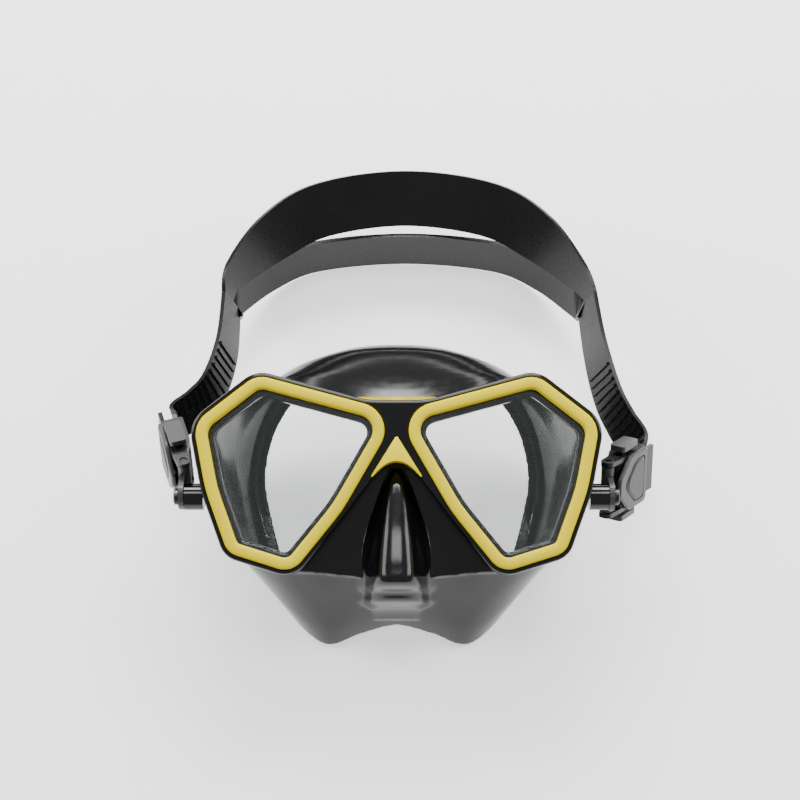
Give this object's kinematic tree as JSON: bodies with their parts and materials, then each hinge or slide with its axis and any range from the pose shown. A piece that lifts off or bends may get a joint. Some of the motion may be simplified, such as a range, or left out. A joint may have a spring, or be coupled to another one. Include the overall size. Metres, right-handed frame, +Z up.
{
  "type": "snorkel mask",
  "caption": "Two-lens dive mask with silicone face skirt, nose pocket, swivelling pinch buckles and a split head strap.",
  "frame": {"origin": "centre of the bounding box's bottom, on the surface the mask lies on", "axes": "+Z up from the table the mask lies on, lenses up; +Y to the forehead and the strap; +X to the right as seen from the front"},
  "size_m": [0.2116, 0.2138, 0.0765],
  "materials": {
    "skirt_silicone": "glossy moulded silicone",
    "strap_silicone": "satin moulded silicone",
    "frame_gloss": "glossy moulded plastic",
    "accent_yellow": "satin moulded plastic",
    "lens_glass": "clear tempered glass",
    "buckle_grey": "satin moulded plastic",
    "buckle_dark": "satin moulded plastic",
    "badge_grey": "plain satin plastic",
    "pin_steel": "plain"
  },
  "bodies": {
    "mask": {"skirt": "skirt_silicone", "front_frame": "frame_gloss", "bridge_insert": "accent_yellow", "lens_left": "lens_glass", "lens_right": "lens_glass", "bezel_left": "accent_yellow", "bezel_right": "accent_yellow", "swivel_pin_left": "pin_steel", "swivel_pin_right": "pin_steel"},
    "harness": {"head_strap": "strap_silicone", "swivel_arm_left": "buckle_grey", "swivel_arm_right": "buckle_grey", "yaw_pin_left": "pin_steel", "yaw_pin_right": "pin_steel"},
    "buckle_left": {"buckle_base_left": "buckle_dark", "buckle_cover_left": "buckle_grey", "badge_left": "badge_grey", "button_spring_left": "pin_steel", "pawl_pin_left": "pin_steel", "roller_pin_left": "pin_steel"},
    "button_upper_left": {"release_button_upper_left": "buckle_grey"},
    "button_lower_left": {"release_button_lower_left": "buckle_grey"},
    "pawl_body_left": {"pawl_left": "buckle_dark"},
    "roller_left": {"strap_roller_left": "buckle_dark"},
    "buckle_right": {"buckle_base_right": "buckle_dark", "buckle_cover_right": "buckle_grey", "badge_right": "badge_grey", "button_spring_right": "pin_steel", "pawl_pin_right": "pin_steel", "roller_pin_right": "pin_steel"},
    "button_upper_right": {"release_button_upper_right": "buckle_grey"},
    "button_lower_right": {"release_button_lower_right": "buckle_grey"},
    "pawl_body_right": {"pawl_right": "buckle_dark"},
    "roller_right": {"strap_roller_right": "buckle_dark"}
  },
  "joints": [
    {"name": "strap_swing", "type": "hinge", "parent": "mask", "child": "harness", "pos_m": [0.08334, -0.05375, 0.05563], "axis": [1, 0, 0], "range_deg": [-78, 40]},
    {"name": "buckle_yaw_left", "type": "hinge", "parent": "harness", "child": "buckle_left", "pos_m": [-0.09186, -0.04566, 0.05169], "axis": [0, 0.4384, 0.8988], "range_deg": [-5, 22], "deforming": ["head_strap"]},
    {"name": "button_press_upper_left", "type": "slide", "parent": "buckle_left", "child": "button_upper_left", "axis": [0, -0.4384, -0.8988], "range_m": [0, 0.0016], "stiffness_N_per_m": 400, "springref_m": -0.001, "deforming": ["button_spring_left"]},
    {"name": "button_press_lower_left", "type": "slide", "parent": "buckle_left", "child": "button_lower_left", "axis": [0, 0.4384, 0.8988], "range_m": [0, 0.0016], "stiffness_N_per_m": 400, "springref_m": -0.001},
    {"name": "pawl_lift_left", "type": "hinge", "parent": "buckle_left", "child": "pawl_body_left", "pos_m": [-0.09835, -0.02771, 0.04294], "axis": [0, 0.4384, 0.8988], "range_deg": [0, 8.01]},
    {"name": "roller_spin_left", "type": "hinge", "parent": "buckle_left", "child": "roller_left", "pos_m": [-0.09433, -0.03882, 0.04836], "axis": [0, 0.4384, 0.8988], "continuous": true},
    {"name": "buckle_yaw_right", "type": "hinge", "parent": "harness", "child": "buckle_right", "pos_m": [0.08334, -0.04785, 0.04884], "axis": [0, 0.7547, 0.6561], "range_deg": [-5, 17], "deforming": ["head_strap"]},
    {"name": "button_press_upper_right", "type": "slide", "parent": "buckle_right", "child": "button_upper_right", "axis": [0, -0.7547, -0.6561], "range_m": [0, 0.0016], "stiffness_N_per_m": 400, "springref_m": -0.001, "deforming": ["button_spring_right"]},
    {"name": "button_press_lower_right", "type": "slide", "parent": "buckle_right", "child": "button_lower_right", "axis": [0, 0.7547, 0.6561], "range_m": [0, 0.0016], "stiffness_N_per_m": 400, "springref_m": -0.001},
    {"name": "pawl_lift_right", "type": "hinge", "parent": "buckle_right", "child": "pawl_body_right", "pos_m": [0.09539, -0.03656, 0.03586], "axis": [0, -0.7547, -0.6561], "range_deg": [0, 8.01]},
    {"name": "roller_spin_right", "type": "hinge", "parent": "buckle_right", "child": "roller_right", "pos_m": [0.08793, -0.04355, 0.0439], "axis": [0, 0.7547, 0.6561], "continuous": true}
  ],
  "couplings": [
    {"joint": "button_press_lower_left", "follows": "button_press_upper_left", "ratio": 1},
    {"joint": "pawl_lift_left", "follows": "button_press_upper_left", "rad_per_m": 87.3},
    {"joint": "button_press_lower_right", "follows": "button_press_upper_right", "ratio": 1},
    {"joint": "pawl_lift_right", "follows": "button_press_upper_right", "rad_per_m": 87.3}
  ]
}
